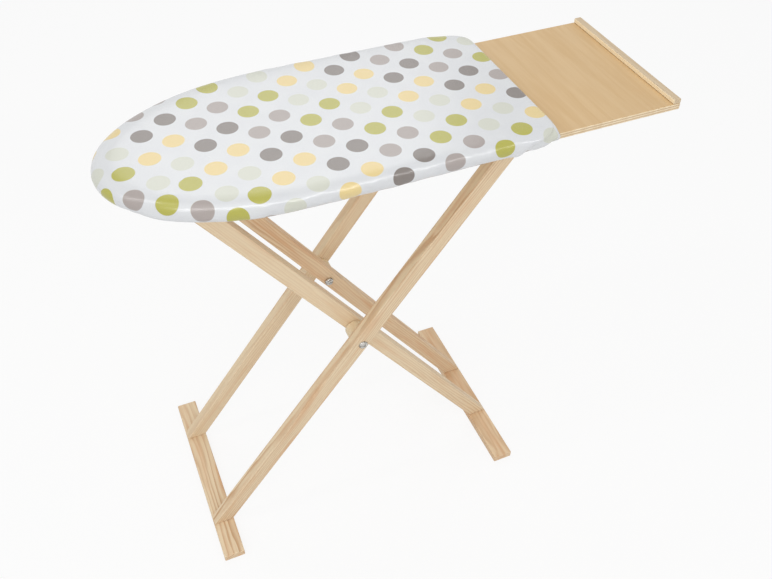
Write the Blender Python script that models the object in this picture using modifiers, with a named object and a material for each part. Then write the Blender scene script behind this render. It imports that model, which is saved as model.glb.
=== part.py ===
"""Folding toy ironing board of plywood and pine, with a padded fabric cover.

A plywood board, bare at its square end and padded over its rounded nose,
stands on two crossed leg frames. The inner frame turns on a rod in two blocks
under the nose. The outer frame crosses it on two barrel bolts and carries the
board on a loose rod that lies in two notched rails. Lengths are in metres.

X runs along the board from the nose to the bare tray end, Y across it, and Z
up from the floor. The origin is on the floor under the middle of the board.
"""

import math

import bmesh
import bpy
from mathutils import Matrix, Vector

# Clearances
GAP = 0.0003
RUN_GAP = 0.0004
OVERRUN = 0.002
MERGE_DISTANCE = 0.00001

# Board
BOARD_HEIGHT = 0.600
PLATE_THICKNESS = 0.008
PLATE_LENGTH = 0.674
BOARD_WIDTH = 0.244
TRAY_LENGTH = 0.228
SHOULDER_LENGTH = 0.010
SHOULDER_DEPTH = 0.0095
NOSE_LENGTH = 0.220
PLATE_EDGE_ROUND = 0.0006
STRIP_WIDTH = 0.0099
STRIP_HEIGHT = 0.0059
STRIP_EDGE_ROUND = 0.0008

# Cover and pad
COVER_REAR_FROM_END = 0.1722
COVER_THICKNESS = 0.0016
COVER_BULGE = 0.0065
COVER_ROLL = 0.026
COVER_SLOPE = 0.007
COVER_CORNER_LENGTH = 0.020
COVER_CORNER_SETBACK = 0.004
COVER_WRAP = 0.004
HUG_FROM_SHOULDER = 0.012
COVER_RISE = 0.0139
HEM_WIDTH = 0.022
HEM_DROP = 0.0004
PAD_CLEARANCE = 0.0005
PAD_TUCK = 0.003
PAD_END_FROM_HEM = 0.013
ELASTIC_RADIUS = 0.0014

# Share of the cover's height, of its rolled edge, of its rear slope, and of
# the way forward to where its sides hug the narrow tray
COVER_SECTION_SHARES = [
    (0.0, 0.30, 0.0, 1.0),
    (0.10, 0.10, 0.0, 1.0),
    (0.28, 0.02, 0.0, 0.9),
    (0.50, 0.0, 0.0, 0.6),
    (0.66, 0.04, 0.28, 0.3),
    (0.82, 0.16, 0.55, 0.12),
    (0.93, 0.38, 0.78, 0.07),
    (0.985, 0.68, 0.92, 0.05),
    (1.0, 1.0, 1.1, 0.05),
]
PAD_START_SHARE = 0.45
PAD_FOOT_HUG_SHARE = 0.6

# Legs
LEG_WIDTH = 0.0227
LEG_THICKNESS = 0.0165
LEG_EDGE_ROUND = 0.0012
FOOT_WIDTH = 0.030
FOOT_LENGTH = 0.298
FOOT_HEIGHT = 0.0114
FOOT_EDGE_ROUND = 0.0012
INNER_LEGS_APART = 0.0808
SPACER_WIDTH = 0.0184
INNER_FOOT_FROM_TRAY_END = 0.1914
OUTER_FOOT_FROM_NOSE = 0.0364

# Pivots
INNER_PIVOT_FROM_NOSE = 0.0860
OUTER_PIVOT_FROM_TRAY_END = 0.2209
PIVOT_DROP = 0.020
CROSSING_DROP = 0.005
ROD_RADIUS = 0.006
ROD_CHAMFER = 0.0008
BLOCK_WIDTH = 0.020
BLOCK_LENGTH = 0.048
BLOCK_SHOULDER = 0.013
BLOCK_NOSE_RADIUS = 0.014
BLOCK_NOSE_START = math.radians(200)
BLOCK_NOSE_END = math.radians(340)
BLOCK_EDGE_ROUND = 0.0008
SPACER_RADIUS = 0.0127
SPACER_CHAMFER = 0.001
BARREL_RADIUS = 0.004
BARREL_HEAD_RADIUS = 0.0063
BARREL_HEAD_HEIGHT = 0.0032
BARREL_END_INSET = 0.004
BARREL_BORE_RADIUS = 0.0027
BARREL_BORE_DEPTH = 0.026
BOLT_RADIUS = 0.0024
BOLT_LENGTH = 0.024
BOLT_HEAD_RADIUS = 0.006
BOLT_HEAD_HEIGHT = 0.0045
DRIVE_SLOT_WIDTH = 0.0012
DRIVE_SLOT_DEPTH = 0.0010
CROSS_LENGTH = 0.006

# Share of a pan head's radius and height, from its crown to its rim
PAN_HEAD_SHARES = [(0.0, 1.0), (0.5, 0.98), (0.8, 0.88), (0.95, 0.68), (1.0, 0.4), (1.0, 0.0)]

# Notched rails
RAIL_WIDTH = 0.012
RAIL_FROM_OUTER_LEG = 0.0032
RAIL_END = 0.014
NOTCH_PITCH = 0.025
NOTCH_RADIUS = 0.0085
NOTCH_DEPTH = 0.0036
RAIL_EDGE_ROUND = 0.0005

# Wood screws
SCREW_HEAD_RADIUS = 0.0034
SCREW_HEAD_SINK = 0.0003
SCREW_CONE = 0.0020
SCREW_RADIUS = 0.0016
SCREW_TIP = 0.0030
BOARD_SCREW_LENGTH = 0.018
FOOT_SCREW_LENGTH = 0.024
BLOCK_SCREW_FROM_ROD = 0.017
SMALL_SLOT_LENGTH = 0.0042

# Rail screws, in notch pitches from the loose rod
RAIL_SCREW_PITCHES = (("front", -0.5), ("rear", 1.5))

# Counts
NOTCH_COUNT = 4
NOTCH_IN_USE = 1
NOSE_STEPS = 32
CORNER_STEPS = 5
ARC_STEPS = 12
NOTCH_STEPS = 6
TURN_STEPS = 24
SCREW_STEPS = 12
ELASTIC_SIDES_RESOLUTION = 1
SMOOTH_LIMIT = math.radians(40)

# Places that follow from the sizes
OVERALL_LENGTH = PLATE_LENGTH + COVER_BULGE
TRAY_END_X = OVERALL_LENGTH / 2
NOSE_X = TRAY_END_X - PLATE_LENGTH
NOSE_CENTRE_X = NOSE_X + NOSE_LENGTH
SHOULDER_X = TRAY_END_X - TRAY_LENGTH
TRAY_WIDTH = BOARD_WIDTH - 2 * SHOULDER_DEPTH
COVER_REAR_X = TRAY_END_X - COVER_REAR_FROM_END
PLATE_BOTTOM = BOARD_HEIGHT - PLATE_THICKNESS
HEM_TOP = PLATE_BOTTOM - HEM_DROP
COVER_BOTTOM = HEM_TOP - COVER_THICKNESS
COVER_TOP = BOARD_HEIGHT + COVER_RISE
COVER_CORNER_DEPTH = SHOULDER_DEPTH + COVER_BULGE - COVER_WRAP
HUG_X = SHOULDER_X + HUG_FROM_SHOULDER

PIVOT_Z = PLATE_BOTTOM - PIVOT_DROP
INNER_PIVOT_X = NOSE_X + INNER_PIVOT_FROM_NOSE
OUTER_PIVOT_X = TRAY_END_X - OUTER_PIVOT_FROM_TRAY_END
INNER_FOOT_X = TRAY_END_X - INNER_FOOT_FROM_TRAY_END
OUTER_FOOT_X = NOSE_X + OUTER_FOOT_FROM_NOSE
LEG_DROP = PIVOT_Z - FOOT_HEIGHT - GAP
INNER_RUN = INNER_FOOT_X - INNER_PIVOT_X
OUTER_RUN = OUTER_FOOT_X - OUTER_PIVOT_X
INNER_LEG_ANGLE = math.atan2(LEG_DROP, INNER_RUN)
OUTER_LEG_ANGLE = math.atan2(LEG_DROP, -OUTER_RUN)
CROSSING_SHARE = (OUTER_PIVOT_X - INNER_PIVOT_X) / (INNER_RUN - OUTER_RUN)
CROSSING_X = INNER_PIVOT_X + CROSSING_SHARE * INNER_RUN
CROSSING_Z = PIVOT_Z - CROSSING_SHARE * LEG_DROP - CROSSING_DROP

INNER_LEG_FACE = INNER_LEGS_APART / 2
INNER_LEG_Y = INNER_LEG_FACE + LEG_THICKNESS / 2
SPACER_Y = INNER_LEG_FACE + LEG_THICKNESS + SPACER_WIDTH / 2
OUTER_LEG_Y = SPACER_Y + SPACER_WIDTH / 2 + LEG_THICKNESS / 2
OUTER_LEG_FACE = OUTER_LEG_Y + LEG_THICKNESS / 2
BLOCK_Y = INNER_LEG_FACE - RUN_GAP - BLOCK_WIDTH / 2
RAIL_Y = OUTER_LEG_Y - LEG_THICKNESS / 2 - RAIL_FROM_OUTER_LEG - RAIL_WIDTH / 2
RAIL_TOP = PLATE_BOTTOM - GAP
RAIL_BOTTOM = PIVOT_Z + ROD_RADIUS + GAP
BORE_RADIUS = BARREL_RADIUS + RUN_GAP
ROD_HOLE_RADIUS = ROD_RADIUS + RUN_GAP

# Colours
PLYWOOD = (0.66, 0.47, 0.26)
PINE = (0.72, 0.50, 0.28)
PALE_PINE = (0.75, 0.60, 0.38)
STEEL = (0.55, 0.55, 0.56)
FABRIC = (0.80, 0.79, 0.86)
FOAM = (0.85, 0.82, 0.72)
ELASTIC = (0.85, 0.85, 0.85)

SIDES = (("near", -1), ("far", 1))


def clear_scene():
    """Remove whatever the file holds at the start."""
    for thing in list(bpy.data.objects):
        bpy.data.objects.remove(thing, do_unlink=True)


def new_collection(name):
    """Make a collection under the scene's own."""
    group = bpy.data.collections.new(name)
    bpy.context.scene.collection.children.link(group)
    return group


clear_scene()
PARTS = new_collection("toy_ironing_board")
CUTTERS = new_collection("cutters")


def finish(thing, colour, roughness, metallic=0.0):
    """Give a piece its own material."""
    paint = bpy.data.materials.new(thing.name + "_finish")
    paint.use_nodes = True
    shader = paint.node_tree.nodes["Principled BSDF"]
    shader.inputs["Base Color"].default_value = (*colour, 1.0)
    shader.inputs["Roughness"].default_value = roughness
    shader.inputs["Metallic"].default_value = metallic
    thing.data.materials.clear()
    thing.data.materials.append(paint)
    return thing


def wood(thing, colour=PINE):
    """Finish a piece as bare, lightly sanded wood."""
    return finish(thing, colour, 0.55)


def shade(thing):
    """Shade round faces smooth and keep the sharper edges."""
    thing.data.shade_smooth()
    thing.data.set_sharp_from_angle(angle=SMOOTH_LIMIT)
    return thing


def mesh_object(name, shape, group=PARTS):
    """Turn a bmesh into an object of the given collection."""
    mesh = bpy.data.meshes.new(name)
    bmesh.ops.recalc_face_normals(shape, faces=shape.faces)
    shape.to_mesh(mesh)
    shape.free()
    thing = bpy.data.objects.new(name, mesh)
    group.objects.link(thing)
    return thing


def as_cutter(thing):
    """Keep a cutter out of the finished object."""
    thing.hide_render = True
    thing.display_type = "WIRE"
    return thing


def cut(thing, *cutters):
    """Cut each cutter out of a piece."""
    for cutter in cutters:
        hole = thing.modifiers.new("cut_" + cutter.name, "BOOLEAN")
        hole.operation = "DIFFERENCE"
        hole.solver = "EXACT"
        hole.object = cutter
    return thing


def round_edges(thing, width, segments=2):
    """Round the edges of a piece."""
    bevel = thing.modifiers.new("round", "BEVEL")
    bevel.width = width
    bevel.segments = segments
    bevel.limit_method = "ANGLE"
    return thing


def place(thing, spot, turn=None):
    """Put a piece at a spot, with an optional turn."""
    thing.matrix_world = Matrix.Translation(spot) @ (turn or Matrix.Identity(4))
    return thing


def box(name, size, spot, group=PARTS):
    """Make a box of the given size around a spot."""
    shape = bmesh.new()
    bmesh.ops.create_cube(shape, size=1.0, matrix=Matrix.Diagonal((*size, 1.0)))
    return place(mesh_object(name, shape, group), spot)


def rod_along_y(name, radius, length, spot, group=PARTS, steps=TURN_STEPS):
    """Make a cylinder that lies along Y."""
    shape = bmesh.new()
    bmesh.ops.create_cone(
        shape, cap_ends=True, segments=steps, radius1=radius, radius2=radius, depth=length
    )
    thing = mesh_object(name, shape, group)
    return place(thing, spot, Matrix.Rotation(math.pi / 2, 4, "X"))


def flat_solid(name, outline, thickness, edge, spot, upright=False, group=PARTS):
    """Make a flat piece with rounded edges from the points of its outline.

    The outline lies in X and Y, or in X and Z where the piece stands upright.
    """
    curve = bpy.data.curves.new(name + "_outline", "CURVE")
    curve.dimensions = "2D"
    curve.fill_mode = "BOTH"
    curve.extrude = thickness / 2 - edge
    curve.bevel_depth = edge
    curve.bevel_resolution = 1
    curve.offset = -edge
    line = curve.splines.new("POLY")
    line.points.add(len(outline) - 1)
    for point, (x, y) in zip(line.points, outline):
        point.co = (x, y, 0.0, 1.0)
    line.use_cyclic_u = True
    drawing = bpy.data.objects.new(name + "_outline", curve)
    group.objects.link(drawing)
    bpy.context.view_layer.update()
    seen = drawing.evaluated_get(bpy.context.evaluated_depsgraph_get())
    mesh = bpy.data.meshes.new_from_object(seen)
    bpy.data.objects.remove(drawing, do_unlink=True)

    shape = bmesh.new()
    shape.from_mesh(mesh)
    bpy.data.meshes.remove(mesh)
    bmesh.ops.remove_doubles(shape, verts=shape.verts, dist=MERGE_DISTANCE)
    thing = mesh_object(name, shape, group)
    turn = Matrix.Rotation(math.pi / 2, 4, "X") if upright else None
    return place(thing, spot, turn)


def turned(name, profile, steps, spot, turn=None, closed=False, group=PARTS):
    """Turn a profile of (radius, height) points about the Z axis."""
    shape = bmesh.new()
    points = [shape.verts.new((radius, 0.0, height)) for radius, height in profile]
    for start, end in zip(points, points[1:]):
        shape.edges.new((start, end))
    if closed:
        shape.edges.new((points[-1], points[0]))
    mesh = bpy.data.meshes.new(name)
    shape.to_mesh(mesh)
    shape.free()
    thing = bpy.data.objects.new(name, mesh)
    group.objects.link(thing)
    screw = thing.modifiers.new("turn", "SCREW")
    screw.angle = math.tau
    screw.steps = steps
    screw.render_steps = steps
    screw.use_merge_vertices = True
    screw.merge_threshold = MERGE_DISTANCE
    screw.use_normal_calculate = True
    screw.use_smooth_shade = False
    return place(thing, spot, turn)


def arc(centre, radius, start, end, steps):
    """Points on an arc, from a start angle to an end angle."""
    angles = [start + (end - start) * step / steps for step in range(steps + 1)]
    return [
        (centre[0] + radius * math.cos(angle), centre[1] + radius * math.sin(angle))
        for angle in angles
    ]


def dome(radius, height, steps=4):
    """Profile of a domed head, from its crown down to its rim."""
    return [
        (radius * math.sin(math.pi / 2 * step / steps), height * math.cos(math.pi / 2 * step / steps))
        for step in range(steps + 1)
    ]


def hold(thing, holder):
    """Parent a piece to the empty on its joint's axis."""
    thing.parent = holder
    thing.matrix_parent_inverse = Matrix.Translation(-holder.location)
    return thing


def joint_axis(name, spot):
    """An empty on the axis of a joint."""
    axis = bpy.data.objects.new(name, None)
    axis.empty_display_size = ROD_RADIUS
    axis.location = spot
    PARTS.objects.link(axis)
    return axis


# Screws

def screw_profile(length):
    """Profile of a countersunk wood screw, its head's face at height zero."""
    return [
        (0.0, 0.0),
        (SCREW_HEAD_RADIUS, 0.0),
        (SCREW_RADIUS, -SCREW_CONE),
        (SCREW_RADIUS, SCREW_TIP - length),
        (0.0, -length),
    ]


def hole_profile(length):
    """Profile of the hole of a wood screw, a gap wider and open at its mouth."""
    return [
        (0.0, OVERRUN),
        (SCREW_HEAD_RADIUS + GAP, OVERRUN),
        (SCREW_HEAD_RADIUS + GAP, 0.0),
        (SCREW_RADIUS + GAP, -SCREW_CONE),
        (SCREW_RADIUS + GAP, SCREW_TIP - length),
        (0.0, -length - GAP),
    ]


def wood_screw(name, length, spot, turn=None):
    """Make a slotted wood screw and the cutter of its hole."""
    screw = turned(name, screw_profile(length), SCREW_STEPS, spot, turn)
    hole = turned(name + "_hole", hole_profile(length), SCREW_STEPS, spot, turn, group=CUTTERS)
    slot = box(
        name + "_slot",
        (SMALL_SLOT_LENGTH, DRIVE_SLOT_WIDTH, 2 * DRIVE_SLOT_DEPTH),
        (0.0, 0.0, 0.0),
        CUTTERS,
    )
    place(slot, spot, turn)
    cut(screw, as_cutter(slot))
    finish(screw, STEEL, 0.35, 1.0)
    return screw, as_cutter(hole)


# Outlines

def half_ellipse(centre_x, length, half_width, steps):
    """The nose, from the far side round the tip to the near side."""
    angles = [math.pi / 2 + math.pi * step / steps for step in range(steps + 1)]
    return [(centre_x + length * math.cos(a), half_width * math.sin(a)) for a in angles]


def rounded_corner(rear_x, side_y, corner_length, corner_depth, side):
    """A quarter ellipse from the rear edge to the side."""
    points = []
    for step in range(CORNER_STEPS + 1):
        angle = math.pi / 2 * step / CORNER_STEPS
        x = rear_x - corner_length + corner_length * math.cos(angle)
        y = side_y - corner_depth + corner_depth * math.sin(angle)
        points.append((x, side * y))
    return points


def plate_outline(clearance=0.0):
    """Outline of the plywood: nose, sides, rounded shoulders and tray."""
    half = BOARD_WIDTH / 2 + clearance
    tray = TRAY_WIDTH / 2 + clearance
    end = TRAY_END_X + clearance
    far = rounded_corner(SHOULDER_X + clearance, half, SHOULDER_LENGTH, half - tray, 1)
    near = rounded_corner(SHOULDER_X + clearance, half, SHOULDER_LENGTH, half - tray, -1)
    nose = half_ellipse(NOSE_CENTRE_X, NOSE_LENGTH + clearance, half, NOSE_STEPS)
    return [(end, -tray), (end, tray)] + far + nose + near[::-1]


def padded_outline(offset, rear_x, hug_share):
    """Outline of the covered stretch, grown by an offset from the plywood.

    The hug share tells where the sides draw in: 0 at the rear edge, and 1
    as far forward as the plywood's shoulders.
    """
    half = BOARD_WIDTH / 2 + offset
    last_x = rear_x - COVER_CORNER_SETBACK
    corner_x = last_x - hug_share * (last_x - HUG_X)
    far = [(rear_x, half - COVER_CORNER_DEPTH)]
    far += rounded_corner(corner_x, half, COVER_CORNER_LENGTH, COVER_CORNER_DEPTH, 1)
    near = [(rear_x, COVER_CORNER_DEPTH - half)]
    near += rounded_corner(corner_x, half, COVER_CORNER_LENGTH, COVER_CORNER_DEPTH, -1)
    nose = half_ellipse(NOSE_CENTRE_X, NOSE_LENGTH + offset, half, NOSE_STEPS)
    return far + nose + near[::-1]


def under_outline(inset, rear_x):
    """The nose and straight sides, drawn in from the plywood's edge."""
    half = BOARD_WIDTH / 2 - inset
    nose = half_ellipse(NOSE_CENTRE_X, NOSE_LENGTH - inset, half, NOSE_STEPS)
    return [(rear_x, half)] + nose + [(rear_x, -half)]


# Board

def pillow(name, rings, group=PARTS):
    """Loft flat rings, each a list of (x, y) points and a height, into a solid."""
    shape = bmesh.new()
    loops = [
        [shape.verts.new((x, y, height)) for x, y in points]
        for points, height in rings
    ]
    shape.faces.new(loops[0][::-1])
    shape.faces.new(loops[-1])
    for lower, upper in zip(loops, loops[1:]):
        for i in range(len(lower)):
            j = (i + 1) % len(lower)
            shape.faces.new((lower[i], lower[j], upper[j], upper[i]))
    return mesh_object(name, shape, group)


def cover_rings(inset, bottom, top, rear_inset):
    """Rings of the cover's rolled section, drawn in from its outer face."""
    rings = []
    for height_share, roll_share, slope_share, hug_share in COVER_SECTION_SHARES:
        offset = COVER_BULGE - inset - roll_share * COVER_ROLL
        rear_x = COVER_REAR_X - rear_inset - slope_share * COVER_SLOPE
        outline = padded_outline(offset, rear_x, hug_share)
        rings.append((outline, bottom + height_share * (top - bottom)))
    return rings


def make_plate(screw_holes):
    """The plywood board, with the countersunk holes of its screws."""
    plate = flat_solid(
        "board_plate", plate_outline(), PLATE_THICKNESS, PLATE_EDGE_ROUND,
        (0.0, 0.0, BOARD_HEIGHT - PLATE_THICKNESS / 2),
    )
    cut(plate, *screw_holes)
    return wood(shade(plate), PLYWOOD)


def make_tray_strip():
    """The stop strip glued on top of the tray's end."""
    strip = box(
        "tray_end_strip", (STRIP_WIDTH, TRAY_WIDTH, STRIP_HEIGHT),
        (TRAY_END_X - STRIP_WIDTH / 2, 0.0, BOARD_HEIGHT + GAP + STRIP_HEIGHT / 2),
    )
    return wood(round_edges(strip, STRIP_EDGE_ROUND), PALE_PINE)


def make_pad():
    """The foam pad, crowned at its edge and tucked in where it meets the board."""
    inset = COVER_THICKNESS + PAD_CLEARANCE
    top = COVER_TOP - COVER_THICKNESS - PAD_CLEARANCE
    bottom = BOARD_HEIGHT + GAP
    rings = []
    for height_share, roll_share, slope_share, hug_share in COVER_SECTION_SHARES:
        if height_share < PAD_START_SHARE:
            continue
        height = HEM_TOP + height_share * (top - HEM_TOP)
        offset = COVER_BULGE - inset - roll_share * COVER_ROLL
        back = max(slope_share * COVER_SLOPE + 2 * inset, PAD_END_FROM_HEM)
        rings.append((padded_outline(offset, COVER_REAR_X - back, hug_share), height))
    foot_offset = COVER_BULGE - inset - PAD_TUCK
    foot = padded_outline(foot_offset, COVER_REAR_X - PAD_END_FROM_HEM, PAD_FOOT_HUG_SHARE)
    pad = pillow("foam_pad", [(foot, bottom)] + rings)
    return finish(shade(pad), FOAM, 0.9)


def make_cover():
    """The fabric cover: a thin shell rolled round the pad and under the board."""
    cover = pillow("cover", cover_rings(0.0, COVER_BOTTOM, COVER_TOP, 0.0))
    hollow = pillow(
        "cover_hollow",
        cover_rings(COVER_THICKNESS, HEM_TOP, COVER_TOP - COVER_THICKNESS, 2 * COVER_THICKNESS),
        CUTTERS,
    )
    slot_height = PLATE_THICKNESS + HEM_DROP + GAP
    slot = flat_solid(
        "cover_slot", plate_outline(RUN_GAP), slot_height, PLATE_EDGE_ROUND / 2,
        (0.0, 0.0, HEM_TOP + slot_height / 2), group=CUTTERS,
    )
    mouth_depth = COVER_THICKNESS + 2 * OVERRUN
    mouth = flat_solid(
        "cover_mouth", under_outline(HEM_WIDTH, COVER_REAR_X + OVERRUN), mouth_depth,
        PLATE_EDGE_ROUND / 2, (0.0, 0.0, COVER_BOTTOM - OVERRUN + mouth_depth / 2), group=CUTTERS,
    )
    cut(cover, as_cutter(hollow), as_cutter(slot), as_cutter(mouth))
    return finish(shade(cover), FABRIC, 0.45)


def make_elastic():
    """The elastic cord along the cover's hem, under the board."""
    inset = HEM_WIDTH + RUN_GAP + ELASTIC_RADIUS
    route = under_outline(inset, SHOULDER_X - COVER_CORNER_LENGTH)
    curve = bpy.data.curves.new("cover_elastic_line", "CURVE")
    curve.dimensions = "3D"
    curve.bevel_depth = ELASTIC_RADIUS
    curve.bevel_resolution = ELASTIC_SIDES_RESOLUTION
    curve.use_fill_caps = True
    line = curve.splines.new("POLY")
    line.points.add(len(route) - 1)
    height = PLATE_BOTTOM - GAP - ELASTIC_RADIUS
    for point, (x, y) in zip(line.points, route):
        point.co = (x, y, height, 1.0)
    elastic = bpy.data.objects.new("cover_elastic", curve)
    PARTS.objects.link(elastic)
    return finish(elastic, ELASTIC, 0.7)


def make_pivot_block(side_name, side, screw_holes):
    """A block under the nose that the inner frame's rod turns in."""
    top = PIVOT_DROP - GAP
    half = BLOCK_LENGTH / 2
    outline = [(-half, top), (-half, top - BLOCK_SHOULDER)]
    outline += arc((0.0, 0.0), BLOCK_NOSE_RADIUS, BLOCK_NOSE_START, BLOCK_NOSE_END, ARC_STEPS)
    outline += [(half, top - BLOCK_SHOULDER), (half, top)]
    spot = (INNER_PIVOT_X, side * BLOCK_Y, PIVOT_Z)
    block = flat_solid(
        "pivot_block_" + side_name, outline, BLOCK_WIDTH, BLOCK_EDGE_ROUND, spot, upright=True
    )
    hole = rod_along_y(
        "block_hole_" + side_name, ROD_HOLE_RADIUS, BLOCK_WIDTH + 2 * OVERRUN, spot, CUTTERS
    )
    cut(block, as_cutter(hole), *screw_holes)
    return wood(shade(block))


def rail_outline():
    """Side view of a notched rail: a flat top and a scallop for each notch."""
    top = RAIL_TOP - RAIL_BOTTOM
    first = -NOTCH_IN_USE * NOTCH_PITCH - RAIL_END
    last = (NOTCH_COUNT - 1 - NOTCH_IN_USE) * NOTCH_PITCH + RAIL_END
    rise = NOTCH_RADIUS - NOTCH_DEPTH
    spread = math.acos(rise / NOTCH_RADIUS)
    outline = [(last, top), (first, top), (first, 0.0)]
    for index in range(NOTCH_COUNT):
        centre = (index - NOTCH_IN_USE) * NOTCH_PITCH
        outline += arc(
            (centre, -rise), NOTCH_RADIUS,
            math.pi / 2 + spread, math.pi / 2 - spread, NOTCH_STEPS
        )
    outline.append((last, 0.0))
    return outline


def make_rail(side_name, side, screw_holes):
    """A rail under the board, notched for the outer frame's loose rod."""
    rail = flat_solid(
        "notched_rail_" + side_name, rail_outline(), RAIL_WIDTH, RAIL_EDGE_ROUND,
        (OUTER_PIVOT_X, side * RAIL_Y, RAIL_BOTTOM), upright=True,
    )
    cut(rail, *screw_holes)
    return wood(shade(rail))


# Leg frames

def leg_outline(run):
    """Side view of a leg about its top pivot: round top, level foot cut.

    The run is the distance along X from the pivot to the foot, below zero
    for a leg that leans towards the nose.
    """
    slope = math.atan2(LEG_DROP, run)
    half_cut = LEG_WIDTH / 2 / math.sin(slope)
    start = math.pi / 2 - slope
    top = arc((0.0, 0.0), LEG_WIDTH / 2, start, start + math.pi, ARC_STEPS)
    return top + [(run - half_cut, -LEG_DROP), (run + half_cut, -LEG_DROP)]


def make_leg(name, run, pivot_x, y, holder, holes):
    """One leg, bored for its rod and for the crossing's bolt."""
    leg = flat_solid(
        name, leg_outline(run), LEG_THICKNESS, LEG_EDGE_ROUND,
        (pivot_x, y, PIVOT_Z), upright=True,
    )
    rod_hole = rod_along_y(
        name + "_rod_hole", ROD_HOLE_RADIUS, LEG_THICKNESS + 2 * OVERRUN,
        (pivot_x, y, PIVOT_Z), CUTTERS,
    )
    bolt_hole = rod_along_y(
        name + "_bolt_hole", BORE_RADIUS, LEG_THICKNESS + 2 * OVERRUN,
        (CROSSING_X, y, CROSSING_Z), CUTTERS,
    )
    cut(leg, as_cutter(rod_hole), as_cutter(bolt_hole), *holes)
    wood(shade(leg))
    return hold(leg, holder)


def make_foot(name, x, holder, holes):
    """A foot bar under a pair of legs."""
    bar = box(name, (FOOT_WIDTH, FOOT_LENGTH, FOOT_HEIGHT), (x, 0.0, FOOT_HEIGHT / 2))
    round_edges(bar, FOOT_EDGE_ROUND)
    cut(bar, *holes)
    wood(bar)
    return hold(bar, holder)


def make_rod(name, x, length):
    """A birch rod with chamfered ends, across the board at pivot height."""
    rod = rod_along_y(name, ROD_RADIUS, length, (x, 0.0, PIVOT_Z))
    round_edges(rod, ROD_CHAMFER, 1)
    return wood(shade(rod), PALE_PINE)


def make_frame(kind, run, pivot_x, leg_y, holder):
    """A leg frame: two legs, a foot bar and the screws that join them."""
    up = Matrix.Rotation(math.pi, 4, "X")
    foot_x = pivot_x + run
    holes = {}
    for side_name, side in SIDES:
        screw, hole = wood_screw(
            f"{kind}_foot_screw_{side_name}", FOOT_SCREW_LENGTH,
            (foot_x, side * leg_y, SCREW_HEAD_SINK), up,
        )
        hold(screw, holder)
        holes[side_name] = hole
    make_foot(f"{kind}_foot_bar", foot_x, holder, holes.values())
    for side_name, side in SIDES:
        make_leg(f"{kind}_leg_{side_name}", run, pivot_x, side * leg_y, holder, [holes[side_name]])


def make_crossing(side_name, side, holder):
    """The barrel nut, bolt and spacer where an inner and an outer leg cross."""
    outward = Matrix.Rotation(-side * math.pi / 2, 4, "X")
    inward = Matrix.Rotation(side * math.pi / 2, 4, "X")
    barrel_length = OUTER_LEG_FACE + GAP - INNER_LEG_FACE - BARREL_END_INSET
    barrel_end = -barrel_length
    nut = turned(
        "crossing_nut_" + side_name,
        dome(BARREL_HEAD_RADIUS, BARREL_HEAD_HEIGHT) + [
            (BARREL_RADIUS, 0.0),
            (BARREL_RADIUS, barrel_end),
            (BARREL_BORE_RADIUS, barrel_end),
            (BARREL_BORE_RADIUS, barrel_end + BARREL_BORE_DEPTH),
            (0.0, barrel_end + BARREL_BORE_DEPTH),
        ],
        TURN_STEPS, (CROSSING_X, side * (OUTER_LEG_FACE + GAP), CROSSING_Z), outward,
    )
    slot = box(
        "crossing_slot_" + side_name,
        (2 * BARREL_HEAD_RADIUS, 2 * DRIVE_SLOT_DEPTH, DRIVE_SLOT_WIDTH),
        (CROSSING_X, side * (OUTER_LEG_FACE + GAP + BARREL_HEAD_HEIGHT), CROSSING_Z),
        CUTTERS,
    )
    cut(nut, as_cutter(slot))
    hold(finish(nut, STEEL, 0.3, 1.0), holder)

    bolt = turned(
        "crossing_bolt_" + side_name,
        [
            (radius_share * BOLT_HEAD_RADIUS, height_share * BOLT_HEAD_HEIGHT)
            for radius_share, height_share in PAN_HEAD_SHARES
        ] + [
            (BOLT_RADIUS, 0.0),
            (BOLT_RADIUS, -BOLT_LENGTH),
            (0.0, -BOLT_LENGTH),
        ],
        TURN_STEPS, (CROSSING_X, side * (INNER_LEG_FACE - GAP), CROSSING_Z), inward,
    )
    for index, size in enumerate((
        (CROSS_LENGTH, 2 * DRIVE_SLOT_DEPTH, DRIVE_SLOT_WIDTH),
        (DRIVE_SLOT_WIDTH, 2 * DRIVE_SLOT_DEPTH, CROSS_LENGTH),
    )):
        recess = box(
            f"crossing_cross_{side_name}_{index}", size,
            (CROSSING_X, side * (INNER_LEG_FACE - GAP - BOLT_HEAD_HEIGHT), CROSSING_Z),
            CUTTERS,
        )
        cut(bolt, as_cutter(recess))
    hold(finish(bolt, STEEL, 0.3, 1.0), holder)

    half = SPACER_WIDTH / 2 - GAP
    rim = half - SPACER_CHAMFER
    spacer = turned(
        "crossing_spacer_" + side_name,
        [
            (BORE_RADIUS, half),
            (SPACER_RADIUS - SPACER_CHAMFER, half),
            (SPACER_RADIUS, rim),
            (SPACER_RADIUS, -rim),
            (SPACER_RADIUS - SPACER_CHAMFER, -half),
            (BORE_RADIUS, -half),
        ],
        TURN_STEPS, (CROSSING_X, side * SPACER_Y, CROSSING_Z), outward, closed=True,
    )
    hold(wood(spacer, PALE_PINE), holder)


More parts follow.
